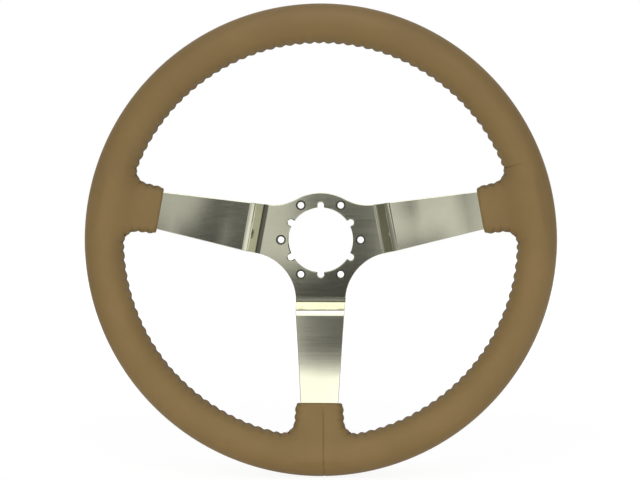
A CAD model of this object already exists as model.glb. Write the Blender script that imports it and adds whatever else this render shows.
"""A three-spoke car steering wheel: brushed steel spokes and a tan leather rim, laced along its inside.

Lengths are in metres. The wheel's axis is Y, its front faces -Y and +Z is the top of the rim.
"""

from math import cos, pi, radians, sin, tau

import bmesh
import bpy
import numpy as np
from mathutils import Matrix, Vector


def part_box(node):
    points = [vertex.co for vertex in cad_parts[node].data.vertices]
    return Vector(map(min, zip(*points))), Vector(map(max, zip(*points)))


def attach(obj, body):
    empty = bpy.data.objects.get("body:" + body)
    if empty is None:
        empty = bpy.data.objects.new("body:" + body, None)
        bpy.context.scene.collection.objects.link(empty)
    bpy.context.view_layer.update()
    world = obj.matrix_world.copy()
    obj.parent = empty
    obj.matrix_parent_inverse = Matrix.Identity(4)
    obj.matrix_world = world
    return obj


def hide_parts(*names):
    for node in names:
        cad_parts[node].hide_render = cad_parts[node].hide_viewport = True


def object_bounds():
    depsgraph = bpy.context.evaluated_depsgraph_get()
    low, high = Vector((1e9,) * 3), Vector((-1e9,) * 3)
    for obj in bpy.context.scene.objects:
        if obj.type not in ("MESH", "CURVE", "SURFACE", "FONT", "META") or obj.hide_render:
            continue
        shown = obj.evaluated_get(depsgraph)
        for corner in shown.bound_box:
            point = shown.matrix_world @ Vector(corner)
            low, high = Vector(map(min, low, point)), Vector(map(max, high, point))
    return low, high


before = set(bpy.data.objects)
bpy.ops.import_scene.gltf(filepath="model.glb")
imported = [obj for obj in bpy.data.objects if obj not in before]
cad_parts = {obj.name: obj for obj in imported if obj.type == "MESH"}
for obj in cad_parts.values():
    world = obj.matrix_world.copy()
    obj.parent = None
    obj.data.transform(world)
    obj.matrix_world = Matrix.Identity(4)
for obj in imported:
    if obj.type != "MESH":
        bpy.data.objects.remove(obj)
cad_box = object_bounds()

MM = 0.001

# The wheel as the frame gives it
leather_low, leather_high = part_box("leather_cover")
ring_low, ring_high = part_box("rim_core_ring")
RIM_PLANE = (ring_low.y + ring_high.y) / 2
RIM_RADIUS = ring_high.x - (ring_high.y - ring_low.y) / 2
GRIP_RADIUS = leather_high.x - RIM_RADIUS
RIM_INSIDE = RIM_RADIUS - GRIP_RADIUS
RUNS = ("top", "left", "right")

# Boots, the leather sleeves over the tips of the right, the left and the lower spoke
SPOKE_ANGLES = (radians(10.5), radians(169.5), radians(270))
TIP_SLOPE = radians(12.5)
BOOT_LENGTH = 25.9 * MM
BOOT_END_WIDTH = 38.35 * MM
BOOT_END_HEIGHT = 15.0 * MM
BOOT_END_CORNER = 6.5 * MM
BOOT_ROOT_WIDTH = 43.15 * MM
BOOT_ROOT_HEIGHT = 24.0 * MM
BOOT_ROOT_CORNER = 8.0 * MM
BOOT_BLEND = 11.0 * MM  # concave corner between a boot and the rim
BOOT_LIP = 2.4 * MM  # round on the end of a boot
BOOT_DEPTH = (RIM_RADIUS - RIM_INSIDE + BOOT_LENGTH) / cos(TIP_SLOPE)

# Mesh of the leather skin
GRIP_SIDES = 48
RIM_STEPS = 240
SKIN_VOXEL = 2.0 * MM
SETTLE_STEPS = 4
PROBE = 0.01 * MM  # the smallest length that counts on the leather and the lacing
# How near to a sewn edge, a boot's end and the crease the mesh gets finer, first once and then once more
FINE_BANDS = (
    (8.0 * MM, 4.0 * MM, 3.0 * MM),
    (2.6 * MM, 1.6 * MM, 1.5 * MM),
)

# Gathers that the stitches pull into the sewn edge
RIM_GATHER = 1.45 * MM
BOOT_GATHER = 0.85 * MM
BOOT_GATHER_START = 1.0 * MM  # inwards from the rim's inside, where the gathers begin to change
BOOT_GATHER_RUN = 5.0 * MM  # over which they become a boot's
GATHER_REACH = 6.5 * MM
GATHER_SHADE = 0.5
CROWN_PLACE = 0.58  # share of the pitch at which a scallop is highest
CROWN_PUFF = 0.4 * MM
CROWN_REACH = 3.5 * MM
LIP_GAP_DEPTH = 0.8 * MM  # groove between the two sewn lips
LIP_GAP_REACH = 0.9 * MM
LIP_GAP_SPREAD = 4.0 * MM
LIP_GAP_SHADE = 0.8
EDGE_SHADE = 0.35
EDGE_SHADE_REACH = 4.5 * MM

# Butt seam across the rim below the lower boot
BUTT_TOP = Vector((3.5 * MM, 0, -139 * MM))
BUTT_FOOT = Vector((4.7 * MM, 0, leather_low.z))
BUTT_DEPTH = 0.45 * MM
BUTT_REACH = 0.7 * MM
BUTT_FADE = 5.0 * MM
BUTT_SHADE = 0.4

# Short crease above the right spoke
CREASE_START = Vector((149.0 * MM, 0, 57.8 * MM))
CREASE_END = Vector((163.0 * MM, 0, 62.0 * MM))
CREASE_DEPTH = 0.4 * MM
CREASE_REACH = 0.8 * MM
CREASE_SHADE = 0.6

# Lacing
THREAD_RADIUS = 0.4 * MM
THREAD_SINK = 1.0 * MM  # from the middle of a CAD stitch down to the top of the arch
THREAD_SIDES = 8
THREAD_STEPS = 6
THREAD_HALF = 3.6 * MM  # half of a stitch, along its arch
THREAD_ARCH = 9.0 * MM  # radius of the arch

# Plate
PLATE_MERGE = 0.001 * MM  # points of the plate that are nearer than this are one
PLATE_CREASE = radians(24)  # edges that turn by less shine as one surface
HUB_FRONT = -2.98 * MM  # just behind the front face of the hub
HUB_REAR = -0.2 * MM  # just before its rear face
LOWER_SPOKE_TOP = -34.0 * MM  # below it the hub has the lower spoke's brush marks
BRUSH_SCALE = (18.0, 900.0, 900.0)  # of the brush marks along X, Y and Z
BOLT_COUNT = 6
BOLT_RADIUS = 33.35 * MM  # from the wheel's axis to a bolt hole's
SINK_REACH = 4.3 * MM
TURNED_LINE_RADIUS = 40.5 * MM
TURNED_LINE_REACH = 0.35 * MM
TURNED_LINE_DEPTH = 0.5 * MM
DULL_FEET = SPOKE_ANGLES[1:]  # at the left and the lower spoke
FOOT_REACH = (48.2 * MM, 51.8 * MM)  # out along the spoke
FOOT_FADE = 0.5 * MM

# Camera, with the rim's middle near the middle of the picture
CAMERA_DISTANCE = 0.95
CAMERA_AZIMUTH = radians(2.5)
CAMERA_ELEVATION = radians(1.0)
CAMERA_SHIFT = (0.0016, 0.0008)
LENS = 66.2  # in millimetres, as the sensor is
SENSOR = 36.0

# Studio
FLOOR_HALF = 6.0
FLOOR_NEAR = 0.35  # from the origin, where the floor begins to grow whiter
FLOOR_FAR = 0.9  # where it is all white
FLOOR_GLOW = 0.8  # share of white before that
FLOOR_WHITE = 1.12
AMBIENT = 0.42  # strength of the surround as a light
CARD_LIFT = 3.0 * MM  # of a card above the floor
FACING_FRONT = (pi / 2, 0, 0)
FACING_SIDE = (pi / 2, 0, pi / 2)
FACING_UP = (0, 0, 0)

# Colours
TAN = (0.234, 0.153, 0.058, 1)
TAN_DEEP = (0.098, 0.066, 0.025, 1)
THREAD_DEEP = (0.15, 0.098, 0.042, 1)
STEEL = (0.504, 0.501, 0.391)
FLOOR_PALE = (0.94, 0.94, 0.94, 1)
WHITE = (1, 1, 1, 1)


def new_piece(name, bm, material, smooth=True):
    """A finished mesh as an object at the origin."""
    mesh = bpy.data.meshes.new(name)
    bm.to_mesh(mesh)
    bm.free()
    for polygon in mesh.polygons:
        polygon.use_smooth = smooth
    piece = bpy.data.objects.new(name, mesh)
    bpy.context.scene.collection.objects.link(piece)
    if material:
        mesh.materials.append(material)
    return piece


# Material parts


def node(tree, kind, **values):
    """A node of a tree, with its settings and the constants or links of its inputs.

    An input is given by its name, with _ for a space, or by its number after an i.
    """
    made = tree.nodes.new(kind)
    for name, value in values.items():
        if hasattr(made, name):
            setattr(made, name, value)
            continue
        key = int(name[1:]) if name[0] == "i" and name[1:].isdigit() else name.replace("_", " ")
        socket = made.inputs[key]
        if isinstance(value, bpy.types.NodeSocket):
            tree.links.new(value, socket)
        else:
            socket.default_value = value
    return made


def new_material(name):
    """A material with its tree and its Principled shader."""
    material = bpy.data.materials.new(name)
    material.use_nodes = True
    tree = material.node_tree
    return material, tree, tree.nodes["Principled BSDF"]


def feed(tree, shader, **links):
    """Links values to a shader's inputs, each given by its name with _ for a space."""
    for name, socket in links.items():
        tree.links.new(socket, shader.inputs[name.replace("_", " ")])


def between(tree, value, low, high):
    """A value from 0 to 1, brought between two levels."""
    return node(tree, "ShaderNodeMapRange", Value=value, To_Min=low, To_Max=high).outputs[0]


def mottle_group():
    """Slow changes of colour and gloss over a surface, with a fine grain."""
    group = bpy.data.node_groups.new("mottle", "ShaderNodeTree")
    face = group.interface
    face.new_socket("Vector", in_out="INPUT", socket_type="NodeSocketVector")
    for name in ("Patch Scale", "Grain Scale", "Low", "High"):
        face.new_socket(name, in_out="INPUT", socket_type="NodeSocketFloat")
    for name in ("Patch", "Grain"):
        face.new_socket(name, in_out="OUTPUT", socket_type="NodeSocketFloat")
    given = node(group, "NodeGroupInput").outputs
    place = given["Vector"]
    patch = node(group, "ShaderNodeTexNoise", Vector=place, Scale=given["Patch Scale"], Detail=3.0)
    spread = node(group, "ShaderNodeMapRange", Value=patch.outputs[0], From_Min=0.3, From_Max=0.7,
                  To_Min=given["Low"], To_Max=given["High"])
    grain = node(group, "ShaderNodeTexNoise", Vector=place, Scale=given["Grain Scale"], Detail=4.0)
    node(group, "NodeGroupOutput", Patch=spread.outputs[0], Grain=grain.outputs[0])
    return group


MOTTLE = mottle_group()


def mottle(tree, vector, patch_scale, grain_scale, low, high):
    """The mottle placed in a material, with its own scales and levels."""
    placed = node(tree, "ShaderNodeGroup", node_tree=MOTTLE, Vector=vector, Low=low, High=high,
                  Patch_Scale=patch_scale, Grain_Scale=grain_scale)
    return placed.outputs


def leather_material():
    """Smooth tan hide with a fine pebble, darker where it is pulled in."""
    material, tree, shader = new_material("tan_leather")
    place = node(tree, "ShaderNodeTexCoord").outputs["Object"]
    tone = mottle(tree, place, patch_scale=24.0, grain_scale=1500.0, low=0.95, high=1.05)
    pebble = node(tree, "ShaderNodeTexVoronoi", Vector=place, Scale=950.0, feature="SMOOTH_F1")
    crease = node(tree, "ShaderNodeAttribute", attribute_name="crease").outputs["Fac"]
    hide = node(tree, "ShaderNodeMix", data_type="RGBA", i0=crease, i6=TAN, i7=TAN_DEEP)
    shade = node(tree, "ShaderNodeVectorMath", operation="SCALE", i0=hide.outputs[2], Scale=tone["Patch"])
    rough = between(tree, tone["Grain"], low=0.46, high=0.66)
    relief = node(tree, "ShaderNodeMath", operation="ADD", i0=pebble.outputs["Distance"], i1=tone["Grain"])
    bump = node(tree, "ShaderNodeBump", Strength=0.18, Distance=0.25 * MM, Height=relief.outputs[0])
    feed(tree, shader, Base_Color=shade.outputs[0], Roughness=rough, Normal=bump.outputs[0])
    shader.inputs["Specular IOR Level"].default_value = 0.2
    return material


def thread_material():
    """Waxed thread, its strands showing as fine bands."""
    material, tree, shader = new_material("lacing_thread")
    place = node(tree, "ShaderNodeTexCoord").outputs["Object"]
    tone = mottle(tree, place, patch_scale=200.0, grain_scale=3000.0, low=0.85, high=1.12)
    strands = node(tree, "ShaderNodeTexWave", Vector=place, Scale=420.0, Distortion=1.5,
                   bands_direction="DIAGONAL").outputs["Fac"]
    colour = node(tree, "ShaderNodeMix", data_type="RGBA", i0=strands, i6=THREAD_DEEP, i7=TAN)
    shade = node(tree, "ShaderNodeVectorMath", operation="SCALE", i0=colour.outputs[2], Scale=tone["Patch"])
    bump = node(tree, "ShaderNodeBump", Strength=0.5, Distance=0.15 * MM, Height=strands)
    feed(tree, shader, Base_Color=shade.outputs[0], Normal=bump.outputs[0])
    shader.inputs["Roughness"].default_value = 0.7
    shader.inputs["Specular IOR Level"].default_value = 0.15
    return material


def brush_place(tree, place, angle):
    """Places scaled so that noise on them makes fine level streaks, then turned by a spoke's angle."""
    turned = node(tree, "ShaderNodeMapping", Vector=place, Rotation=(0, angle, 0), Scale=BRUSH_SCALE)
    return turned.outputs[0]


def brush_marks(tree, place):
    """Fine level streaks, with a pattern of its own on each spoke and its part of the hub."""
    axes = node(tree, "ShaderNodeSeparateXYZ", Vector=place).outputs
    right, left, lower = (brush_place(tree, place, angle) for angle in SPOKE_ANGLES)
    on_left = node(tree, "ShaderNodeMath", operation="LESS_THAN", i0=axes["X"], i1=0.0)
    side = node(tree, "ShaderNodeMix", data_type="VECTOR", i0=on_left.outputs[0], i4=right, i5=left)
    below = node(tree, "ShaderNodeMath", operation="LESS_THAN", i0=axes["Z"], i1=LOWER_SPOKE_TOP)
    along = node(tree, "ShaderNodeMix", data_type="VECTOR", i0=below.outputs[0], i4=side.outputs[1],
                 i5=lower)
    return node(tree, "ShaderNodeTexNoise", Vector=along.outputs[1], Scale=1.0, Detail=5.0,
                Roughness=0.7).outputs[0]


def steel_material():
    """Stainless sheet with fine level brush marks, dull where polish stays out."""
    material, tree, shader = new_material("brushed_metal")
    place = node(tree, "ShaderNodeTexCoord").outputs["Object"]
    streak = brush_marks(tree, place)
    tone = mottle(tree, place, patch_scale=30.0, grain_scale=400.0, low=0.93, high=1.04)
    lift = between(tree, streak, low=0.90, high=1.08)
    shade = node(tree, "ShaderNodeMath", operation="MULTIPLY", i0=lift, i1=tone["Patch"])
    grime = node(tree, "ShaderNodeAttribute", attribute_name="recess").outputs["Fac"]
    clean = between(tree, grime, low=1.0, high=0.22)
    tint = node(tree, "ShaderNodeMath", operation="MULTIPLY", i0=shade.outputs[0], i1=clean)
    colour = node(tree, "ShaderNodeVectorMath", operation="SCALE", i0=STEEL, Scale=tint.outputs[0])
    polish = between(tree, streak, low=0.08, high=0.16)
    rough = node(tree, "ShaderNodeMath", operation="MULTIPLY_ADD", i0=grime, i1=0.3, i2=polish)
    bump = node(tree, "ShaderNodeBump", Strength=0.06, Distance=0.03 * MM, Height=streak)
    feed(tree, shader, Base_Color=colour.outputs[0], Roughness=rough.outputs[0], Normal=bump.outputs[0])
    shader.inputs["Metallic"].default_value = 1.0
    return material


def core_material():
    """Plain drawn rod."""
    material, tree, shader = new_material("core_steel")
    place = node(tree, "ShaderNodeTexCoord").outputs["Object"]
    tone = mottle(tree, place, patch_scale=60.0, grain_scale=900.0, low=0.14, high=0.22)
    rough = between(tree, tone["Grain"], low=0.35, high=0.55)
    feed(tree, shader, Base_Color=tone["Patch"], Roughness=rough)
    shader.inputs["Metallic"].default_value = 1.0
    return material


def foam_material():
    """Dark moulded foam with a fine cell."""
    material, tree, shader = new_material("grip_foam")
    place = node(tree, "ShaderNodeTexCoord").outputs["Object"]
    tone = mottle(tree, place, patch_scale=40.0, grain_scale=1200.0, low=0.035, high=0.06)
    bump = node(tree, "ShaderNodeBump", Strength=0.3, Distance=0.2 * MM, Height=tone["Grain"])
    feed(tree, shader, Base_Color=tone["Patch"], Normal=bump.outputs[0])
    shader.inputs["Roughness"].default_value = 0.85
    return material


# The leather's form, as a distance from its surface


def boot_place(points, angle):
    """Points in a boot's own directions: outwards along it, across it and through its height."""
    outward = points[:, 0] * cos(angle) + points[:, 2] * sin(angle) - RIM_RADIUS
    across = points[:, 2] * cos(angle) - points[:, 0] * sin(angle)
    depth = points[:, 1] - RIM_PLANE
    return (
        outward * cos(TIP_SLOPE) - depth * sin(TIP_SLOPE),
        across,
        outward * sin(TIP_SLOPE) + depth * cos(TIP_SLOPE),
    )


def rounded(first, second, radius):
    """The distance from a corner of two walls that is rounded to a radius."""
    a = first + radius
    b = second + radius
    return np.hypot(np.maximum(a, 0), np.maximum(b, 0)) + np.minimum(np.maximum(a, b), 0) - radius


def boot_distance(points, angle):
    """The distance of points from the surface of one boot."""
    outward, across, height = boot_place(points, angle)
    share = np.clip(1 + outward / BOOT_DEPTH, 0, 1)
    half_width = (BOOT_END_WIDTH + (BOOT_ROOT_WIDTH - BOOT_END_WIDTH) * share) / 2
    half_height = (BOOT_END_HEIGHT + (BOOT_ROOT_HEIGHT - BOOT_END_HEIGHT) * share) / 2
    corner = BOOT_END_CORNER + (BOOT_ROOT_CORNER - BOOT_END_CORNER) * share
    sleeve = rounded(np.abs(across) - half_width, np.abs(height) - half_height, corner)
    return np.maximum(rounded(sleeve, -BOOT_DEPTH - outward, BOOT_LIP), outward)


def blended(first, second, radius):
    """Two distances joined by a concave corner of a radius."""
    a = np.maximum(radius - first, 0)
    b = np.maximum(radius - second, 0)
    return np.maximum(radius, np.minimum(first, second)) - np.hypot(a, b)


def grip_distance(points):
    """The distance of points from the surface of the rim and its three boots."""
    spread = np.hypot(points[:, 0], points[:, 2]) - RIM_RADIUS
    distance = np.hypot(spread, points[:, 1] - RIM_PLANE) - GRIP_RADIUS
    for angle in SPOKE_ANGLES:
        distance = blended(distance, boot_distance(points, angle), BOOT_BLEND)
    return distance


def outward_way(points):
    """The direction straight out of the leather at each point."""
    way = np.empty_like(points)
    for axis in range(3):
        step = np.zeros(3)
        step[axis] = PROBE
        way[:, axis] = grip_distance(points + step) - grip_distance(points - step)
    return way / np.linalg.norm(way, axis=1, keepdims=True)


def vert_points(bm):
    """The places of a mesh's vertices."""
    return np.array([v.co for v in bm.verts])


def move_verts(bm, points):
    """Puts a mesh's vertices at points."""
    for v, point in zip(bm.verts, points):
        v.co = point


def settle(bm):
    """Moves every vertex on to the true surface of the rim and its boots."""
    points = vert_points(bm)
    for _ in range(SETTLE_STEPS):
        points -= grip_distance(points)[:, None] * outward_way(points)
    move_verts(bm, points)


def rim_blank():
    """The rim as a spun tube with three plain tapered boots, joined to one closed skin."""
    bm = bmesh.new()
    ring = bmesh.ops.create_circle(bm, segments=GRIP_SIDES, radius=GRIP_RADIUS)["verts"]
    bmesh.ops.translate(bm, verts=ring, vec=(RIM_RADIUS, RIM_PLANE, 0))
    bmesh.ops.spin(bm, geom=bm.verts[:] + bm.edges[:], axis=(0, 1, 0), cent=(0, 0, 0), angle=tau,
                   steps=RIM_STEPS, use_merge=True)
    for angle in SPOKE_ANGLES:
        block = bmesh.ops.create_cube(bm, size=1)["verts"]
        for v in block:
            at_root = v.co.x > 0
            v.co.x = 0 if at_root else -BOOT_DEPTH
            v.co.y *= BOOT_ROOT_HEIGHT if at_root else BOOT_END_HEIGHT
            v.co.z *= BOOT_ROOT_WIDTH if at_root else BOOT_END_WIDTH
        bmesh.ops.rotate(bm, verts=block, matrix=Matrix.Rotation(-TIP_SLOPE, 3, "Z"))
        bmesh.ops.translate(bm, verts=block, vec=(RIM_RADIUS, RIM_PLANE, 0))
        bmesh.ops.rotate(bm, verts=block, matrix=Matrix.Rotation(-angle, 3, "Y"))
    bmesh.ops.recalc_face_normals(bm, faces=bm.faces)
    blank = new_piece("rim_blank", bm, None)
    remesh = blank.modifiers.new("skin", "REMESH")
    remesh.mode = "VOXEL"
    remesh.voxel_size = SKIN_VOXEL
    shown = blank.evaluated_get(bpy.context.evaluated_depsgraph_get())
    skin = bmesh.new()
    skin.from_mesh(shown.to_mesh())
    bpy.data.objects.remove(blank)
    return skin


# The lacing's places, read from the frame


def stitch_centres(node_name):
    """The middles of a run's stitches, in order along the sewn edge."""
    bm = bmesh.new()
    bm.from_mesh(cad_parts[node_name].data)
    bmesh.ops.remove_doubles(bm, verts=bm.verts, dist=PROBE)
    centres = []
    for seed in bm.verts:
        if seed.tag:
            continue
        seed.tag = True
        island = [seed]
        for v in island:
            for edge in v.link_edges:
                other = edge.other_vert(v)
                if not other.tag:
                    other.tag = True
                    island.append(other)
        low = Vector(min(v.co[i] for v in island) for i in range(3))
        high = Vector(max(v.co[i] for v in island) for i in range(3))
        centres.append((low + high) / 2)
    bm.free()
    ordered = [min(centres, key=lambda c: Vector((c.x, c.z)).length)]
    centres.remove(ordered[0])
    while centres:
        ordered.append(min(centres, key=lambda c: (c - ordered[-1]).length))
        centres.remove(ordered[-1])
    return ordered


def run_frame(centres):
    """Each stitch's middle, the direction of the sewn edge there and the pitch."""
    middles = np.array(centres)
    ends = np.vstack((2 * middles[0] - middles[1], middles, 2 * middles[-1] - middles[-2]))
    chord = ends[2:] - ends[:-2]
    length = np.linalg.norm(chord, axis=1, keepdims=True)
    return middles, chord / length, length[:, 0] / 2


# What is pressed into the leather


def bell(distance, reach):
    """1 at no distance, falling smoothly to almost nothing at twice a reach."""
    return np.exp(-((distance / reach) ** 2))


def lacing_field(points, centres):
    """How deep a run of stitches pulls the leather in at points, and how dark the leather is there."""
    middles, along, pitch = run_frame(centres)
    nearest = np.linalg.norm(points[:, None, :] - middles[None], axis=2).argmin(axis=1)
    offset = points - middles[nearest]
    run = (offset * along[nearest]).sum(axis=1)
    side = offset - run[:, None] * along[nearest]
    across = np.linalg.norm(side, axis=1)
    place = run / pitch[nearest]
    last = len(middles) - 1
    beyond = ((nearest == 0) & (place < -0.5)) | ((nearest == last) & (place > 0.5))
    share = np.where(place < 0, 1 + place, place)
    # The second half of a run mirrors the first
    share = np.clip(np.where(nearest < len(middles) / 2, share, 1 - share), 0, 1)
    fall = np.where(share < CROWN_PLACE, 1 - share / CROWN_PLACE, (share - CROWN_PLACE) / (1 - CROWN_PLACE))
    inward = RIM_INSIDE - np.hypot(middles[:, 0], middles[:, 2])
    on_boot = np.clip((inward - BOOT_GATHER_START) / BOOT_GATHER_RUN, 0, 1)
    gather = (RIM_GATHER + (BOOT_GATHER - RIM_GATHER) * on_boot)[nearest]
    pull = np.where(beyond, 0, fall**2 * bell(across, GATHER_REACH))
    lips = np.maximum(0, 1 - np.abs(side[:, 1]) / LIP_GAP_REACH) * bell(across, LIP_GAP_SPREAD)
    lips = np.where(beyond, 0, lips)
    puff = np.where(beyond, 0, (1 - fall**2) * bell(across, CROWN_REACH))
    worn = np.where(beyond, 0, bell(across, EDGE_SHADE_REACH))
    depth = pull * gather + lips * LIP_GAP_DEPTH - puff * CROWN_PUFF
    return depth, np.clip(GATHER_SHADE * pull + LIP_GAP_SHADE * lips + EDGE_SHADE * worn, 0, 1)


def butt_way():
    """The direction across the butt seam, seen from the front."""
    run = BUTT_FOOT - BUTT_TOP
    return Vector((run.z, 0, -run.x)).normalized()


def butt_field(points):
    """The groove of the butt seam, fading out towards the end of the boot."""
    side = (points - np.array(BUTT_TOP)) @ np.array(butt_way())
    share = np.maximum(0, 1 - np.abs(side) / BUTT_REACH)
    return share * np.clip((BUTT_TOP.z + BUTT_FADE - points[:, 2]) / BUTT_FADE, 0, 1)


def crease_place(points):
    """How far along the short crease points lie, and how far beside it, seen from the front."""
    start = np.array((CREASE_START.x, CREASE_START.z))
    run = np.array((CREASE_END.x, CREASE_END.z)) - start
    flat = points[:, (0, 2)] - start
    share = np.clip(flat @ run / (run @ run), 0, 1)
    return share, np.linalg.norm(flat - share[:, None] * run, axis=1)


def crease_field(points):
    """The short crease, which fades out on the front of the rim."""
    share, off = crease_place(points)
    return np.maximum(0, 1 - off / CREASE_REACH) * (1 - share**2) * (points[:, 1] < RIM_PLANE)


# Leather skin


def refine(bm, chosen):
    """Cuts every edge of the chosen faces in half."""
    faces = [face for face, wanted in zip(bm.faces, chosen) if wanted]
    edges = list({edge: None for face in faces for edge in face.edges})
    bmesh.ops.subdivide_edges(bm, edges=edges, cuts=1, use_grid_fill=True)


def sewn_distance(points, runs):
    """The distance of points from the nearest sewn edge."""
    nearest = np.full(len(points), np.inf)
    for centres in runs:
        line = np.array(centres)
        for start, end in zip(line[:-1], line[1:]):
            way = end - start
            share = np.clip((points - start) @ way / (way @ way), 0, 1)
            nearest = np.minimum(nearest, np.linalg.norm(points - start - share[:, None] * way, axis=1))
    return nearest


def boot_end_distance(points):
    """The distance of points from the end face of the nearest boot, for points on a boot."""
    nearest = np.full(len(points), np.inf)
    for angle in SPOKE_ANGLES:
        outward, across, _ = boot_place(points, angle)
        on_boot = (np.abs(across) < BOOT_ROOT_WIDTH / 2) & (outward < -GRIP_RADIUS)
        nearest = np.where(on_boot, np.minimum(nearest, np.abs(outward + BOOT_DEPTH)), nearest)
    return nearest


def cut_butt(bm):
    """Cuts the lines of the butt seam's groove into the mesh."""
    way = butt_way()
    for share in (-1, -0.5, 0, 0.5, 1):
        low = [face for face in bm.faces if face.calc_center_median().z < BUTT_TOP.z + BUTT_FADE]
        geom = low + list({edge: None for face in low for edge in face.edges})
        geom += list({v: None for face in low for v in face.verts})
        line = BUTT_TOP + way * (BUTT_REACH * share)
        bmesh.ops.bisect_plane(bm, geom=geom, dist=PROBE, plane_co=line, plane_no=way)


def skin_mesh(runs):
    """The plain skin on its true form, with finer faces where detail is pressed into it."""
    bm = rim_blank()
    for sewn_band, boot_end_band, crease_band in FINE_BANDS:
        settle(bm)
        middles = np.array([face.calc_center_median() for face in bm.faces])
        near = sewn_distance(middles, runs) < sewn_band
        near |= boot_end_distance(middles) < boot_end_band
        near |= crease_place(middles)[1] < crease_band
        refine(bm, near)
    cut_butt(bm)
    settle(bm)
    return bm


def leather_piece(runs, material):
    """The leather skin, gathered at every stitch, with its seam and its crease."""
    bm = skin_mesh(runs)
    points = vert_points(bm)
    depth = np.zeros(len(points))
    dark = np.zeros(len(points))
    for centres in runs:
        pulled, shaded = lacing_field(points, centres)
        depth += pulled
        dark = np.maximum(dark, shaded)
    butt = butt_field(points)
    crease = crease_field(points)
    depth += butt * BUTT_DEPTH + crease * CREASE_DEPTH
    dark = np.clip(dark + BUTT_SHADE * butt + CREASE_SHADE * crease, 0, 1)
    move_verts(bm, points - depth[:, None] * outward_way(points))
    bmesh.ops.recalc_face_normals(bm, faces=bm.faces)
    piece = new_piece("leather_skin", bm, material)
    shade = piece.data.attributes.new("crease", "FLOAT", "POINT")
    shade.data.foreach_set("value", dark.astype(np.float32))
    return piece


# Lacing and plate


def lacing_piece(name, centres, material):
    """A run of lacing: each stitch arches over the sewn edge and dives into the leather at both ends."""
    bm = bmesh.new()
    middles, along, _ = run_frame(centres)
    turn = 2 * THREAD_HALF / THREAD_ARCH
    for middle, way, out in zip(middles, along, outward_way(middles)):
        edge = Vector(way)
        over = Vector(out).cross(edge).normalized()
        up = edge.cross(over)
        hub = Vector(middle) - up * (THREAD_ARCH + THREAD_SINK)
        start = Matrix.Rotation(-turn / 2, 3, edge)
        ring = bmesh.ops.create_circle(bm, segments=THREAD_SIDES, radius=THREAD_RADIUS)["verts"]
        facing = over.to_track_quat("Z", "Y").to_matrix()
        for v in ring:
            v.co = hub + start @ (facing @ v.co + up * THREAD_ARCH)
        rim = list({e: None for v in ring for e in v.link_edges})
        spun = bmesh.ops.spin(bm, geom=ring + rim, cent=hub, axis=edge, angle=turn, steps=THREAD_STEPS)
        last = [e for e in spun["geom_last"] if isinstance(e, bmesh.types.BMEdge)]
        bmesh.ops.holes_fill(bm, edges=rim + last, sides=THREAD_SIDES)
    bmesh.ops.recalc_face_normals(bm, faces=bm.faces)
    return new_piece(name, bm, material)


def spoke_reach(point, angle):
    """How far out along a spoke a point lies."""
    return point.x * cos(angle) + point.z * sin(angle)


def in_recess(point):
    """Whether a point of the plate lies in a dull foot, in the turned line or in a countersink."""
    if point.y > HUB_REAR:
        return False
    if point.y < HUB_FRONT:
        return any(FOOT_REACH[0] < spoke_reach(point, angle) < FOOT_REACH[1] for angle in DULL_FEET)
    flat = Vector((point.x, point.z))
    if abs(flat.length - TURNED_LINE_RADIUS) < TURNED_LINE_REACH:
        return point.y < HUB_FRONT + TURNED_LINE_DEPTH
    turns = [k * tau / BOLT_COUNT for k in range(BOLT_COUNT)]
    bolts = [Vector((cos(turn), sin(turn))) * BOLT_RADIUS for turn in turns]
    return any((flat - bolt).length < SINK_REACH for bolt in bolts)


def plate_piece(material):
    """The stamped plate with its facets merged, so that its bends and sweeps shine as one surface."""
    bm = bmesh.new()
    bm.from_mesh(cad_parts["spoke_plate"].data)
    bmesh.ops.remove_doubles(bm, verts=bm.verts, dist=PLATE_MERGE)
    for angle in DULL_FEET:
        outward = Vector((cos(angle), 0, sin(angle)))
        for reach in (FOOT_REACH[0] - FOOT_FADE, FOOT_REACH[1] + FOOT_FADE):
            bmesh.ops.bisect_plane(bm, geom=bm.verts[:] + bm.edges[:] + bm.faces[:], dist=PLATE_MERGE,
                                   plane_co=outward * reach, plane_no=outward)
    for edge in bm.edges:
        edge.smooth = edge.is_manifold and edge.calc_face_angle() < PLATE_CREASE
    recess = [1.0 if in_recess(v.co) else 0.0 for v in bm.verts]
    piece = new_piece("brushed_plate", bm, material)
    grime = piece.data.attributes.new("recess", "FLOAT", "POINT")
    grime.data.foreach_set("value", recess)
    even = piece.modifiers.new("even_shine", "WEIGHTED_NORMAL")
    even.keep_sharp = True
    return piece


# Studio


def studio_rays(tree):
    """1 for rays from the camera, off a glossy surface or through a clear one, and 0 for others."""
    path = node(tree, "ShaderNodeLightPath").outputs
    seen = node(tree, "ShaderNodeMath", operation="MAXIMUM", i0=path["Is Camera Ray"],
                i1=path["Is Glossy Ray"])
    return node(tree, "ShaderNodeMath", operation="MAXIMUM", i0=seen.outputs[0],
                i1=path["Is Transmission Ray"]).outputs[0]


def make_world():
    """A white surround that lights the wheel softly."""
    world = bpy.data.worlds.new("studio")
    bpy.context.scene.world = world
    world.use_nodes = True
    tree = world.node_tree
    ground = tree.nodes["Background"]
    ground.inputs["Color"].default_value = WHITE
    tree.links.new(between(tree, studio_rays(tree), low=AMBIENT, high=1.0), ground.inputs["Strength"])


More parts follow.
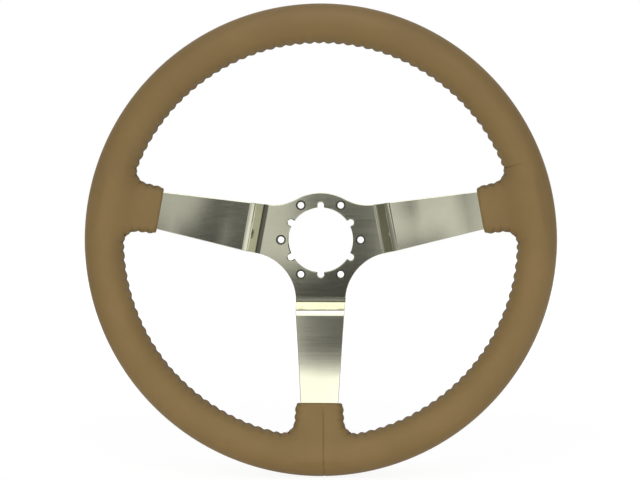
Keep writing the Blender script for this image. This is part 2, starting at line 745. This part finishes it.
def make_floor():
    """A pale floor that keeps the shadow near the wheel and is white further off."""
    bm = bmesh.new()
    bmesh.ops.create_grid(bm, x_segments=1, y_segments=1, size=FLOOR_HALF)
    bmesh.ops.translate(bm, verts=bm.verts, vec=(0, 0, cad_box[0].z))
    material, tree, shader = new_material("floor")
    shader.inputs["Base Color"].default_value = FLOOR_PALE
    shader.inputs["Roughness"].default_value = 0.9
    place = node(tree, "ShaderNodeTexCoord").outputs["Object"]
    far = node(tree, "ShaderNodeVectorMath", operation="LENGTH", i0=place)
    fade = node(tree, "ShaderNodeMapRange", Value=far.outputs["Value"], interpolation_type="SMOOTHSTEP",
                From_Min=FLOOR_NEAR, From_Max=FLOOR_FAR, To_Min=FLOOR_GLOW)
    share = node(tree, "ShaderNodeMath", operation="MULTIPLY", i0=fade.outputs[0], i1=studio_rays(tree))
    white = node(tree, "ShaderNodeEmission", Strength=FLOOR_WHITE)
    mix = node(tree, "ShaderNodeMixShader", i0=share.outputs[0], i1=shader.outputs[0], i2=white.outputs[0])
    tree.links.new(mix.outputs[0], tree.nodes["Material Output"].inputs["Surface"])
    floor = new_piece("floor", bm, material, smooth=False)


def make_softbox(name, place, size, radiance, mirrored=False):
    """A soft panel of light of a given brightness, facing the wheel."""
    light = bpy.data.lights.new(name, "AREA")
    light.shape = "RECTANGLE"
    light.size, light.size_y = size
    light.energy = radiance * pi * size[0] * size[1]
    lamp = bpy.data.objects.new(name, light)
    bpy.context.scene.collection.objects.link(lamp)
    lamp.location = place
    lamp.rotation_euler = (Vector((0, RIM_PLANE, 0)) - Vector(place)).to_track_quat("-Z", "Y").to_euler()
    lamp.visible_camera = False
    lamp.visible_glossy = mirrored


def make_card(name, place, size, turn, glow, soft):
    """A card with soft edges and a glow of its own, seen only in reflections."""
    bm = bmesh.new()
    bmesh.ops.create_grid(bm, x_segments=1, y_segments=1, size=0.5)
    bmesh.ops.scale(bm, verts=bm.verts, vec=(*size, 1))
    material, tree, _ = new_material(name)
    on_card = node(tree, "ShaderNodeTexCoord").outputs["Object"]
    off = node(tree, "ShaderNodeVectorMath", operation="ABSOLUTE", i0=on_card)
    axes = node(tree, "ShaderNodeSeparateXYZ", Vector=off.outputs[0]).outputs
    masks = []
    for axis, length in zip("XY", size):
        mask = node(tree, "ShaderNodeMapRange", Value=axes[axis], interpolation_type="SMOOTHSTEP",
                    From_Min=length / 2, From_Max=length / 2 - soft)
        masks.append(mask.outputs[0])
    cover = node(tree, "ShaderNodeMath", operation="MULTIPLY", i0=masks[0], i1=masks[1])
    clear = node(tree, "ShaderNodeBsdfTransparent")
    shine = node(tree, "ShaderNodeEmission", Strength=glow)
    mix = node(tree, "ShaderNodeMixShader", i0=cover.outputs[0], i1=clear.outputs[0], i2=shine.outputs[0])
    tree.links.new(mix.outputs[0], tree.nodes["Material Output"].inputs["Surface"])
    card = new_piece(name, bm, material, smooth=False)
    card.location = place
    card.rotation_euler = turn
    card.visible_camera = False
    card.visible_shadow = False
    card.visible_diffuse = False


def make_camera():
    """The camera, nearly straight before the wheel."""
    camera = bpy.data.cameras.new("camera")
    camera.lens = LENS
    camera.sensor_width = SENSOR
    camera.shift_x, camera.shift_y = CAMERA_SHIFT
    holder = bpy.data.objects.new("camera", camera)
    bpy.context.scene.collection.objects.link(holder)
    target = Vector((0, RIM_PLANE, 0))
    back = Vector((
        sin(CAMERA_AZIMUTH) * cos(CAMERA_ELEVATION),
        -cos(CAMERA_AZIMUTH) * cos(CAMERA_ELEVATION),
        sin(CAMERA_ELEVATION),
    ))
    holder.location = target + back * CAMERA_DISTANCE
    holder.rotation_euler = (-back).to_track_quat("-Z", "Y").to_euler()
    bpy.context.scene.camera = holder


def dress_wheel():
    """Puts the finishes on the CAD pieces and adds the plate, the leather and the lacing."""
    plate = plate_piece(steel_material())
    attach(plate, "root")
    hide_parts("spoke_plate")
    for name, finish in (
        ("rim_core_ring", core_material()),
        ("rim_foam", foam_material()),
    ):
        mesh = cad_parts[name].data
        mesh.materials.clear()
        mesh.materials.append(finish)
    centres = {run: stitch_centres(f"stitching_{run}") for run in RUNS}
    leather = leather_piece(list(centres.values()), leather_material())
    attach(leather, "root")
    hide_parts("leather_cover")
    thread = thread_material()
    for run in RUNS:
        lacing = lacing_piece(f"lacing_{run}", centres[run], thread)
        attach(lacing, "root")
        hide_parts(f"stitching_{run}")


def set_cards():
    """The cards that the bends and sweeps of the steel mirror."""
    make_card("camera_card", place=(-0.006, -1.02, 0.0), size=(0.178, 0.20), turn=FACING_FRONT,
              glow=0.155, soft=0.03)
    make_card("bore_card", place=(-0.0705, -1.0, -0.033), size=(0.069, 0.055), turn=FACING_FRONT,
              glow=1.3, soft=0.012)
    make_card("stand_card", place=(-0.01, -1.01, -0.25), size=(0.32, 0.42), turn=FACING_FRONT,
              glow=0.06, soft=0.05)
    make_card("right_grey_card", place=(0.46, -1.3, 0.0), size=(0.84, 1.2), turn=FACING_FRONT,
              glow=0.85, soft=0.1)
    make_card("left_grey_card", place=(-0.61, -1.3, 0.0), size=(0.65, 1.2), turn=FACING_FRONT,
              glow=0.22, soft=0.12)
    make_card("right_dark_card", place=(1.2, -0.24, 0.0), size=(1.6, 1.8), turn=FACING_SIDE,
              glow=0.42, soft=0.2)
    make_card("left_dark_card", place=(-1.2, -0.24, 0.0), size=(1.6, 1.8), turn=FACING_SIDE,
              glow=0.42, soft=0.2)
    floor_side = cad_box[0].z + CARD_LIFT
    make_card("right_floor_card", place=(0.85, -0.35, floor_side), size=(1.1, 1.6), turn=FACING_UP,
              glow=1.5, soft=0.2)
    make_card("left_floor_card", place=(-0.85, -0.35, floor_side), size=(1.1, 1.6), turn=FACING_UP,
              glow=0.42, soft=0.2)
    make_card("riser_card", place=(0.0, -0.27, 0.5), size=(0.4, 0.3), turn=(radians(26), 0, 0),
              glow=4.6, soft=0.05)


def light_studio():
    """The white studio, its softboxes and its cards."""
    bpy.context.scene.view_settings.view_transform = "Standard"
    make_world()
    make_floor()
    make_softbox("top_softbox", place=(0.0, -0.83, 0.62), size=(0.55, 1.19), radiance=1.3, mirrored=True)
    make_softbox("low_softbox", place=(0.0, -0.30, -0.16), size=(0.45, 0.08), radiance=2.5)
    make_softbox("left_softbox", place=(-0.75, -0.75, 0.0), size=(0.4, 0.4), radiance=2.3)
    make_softbox("right_softbox", place=(0.75, -0.75, 0.0), size=(0.4, 0.4), radiance=1.2)
    set_cards()


dress_wheel()
light_studio()
make_camera()
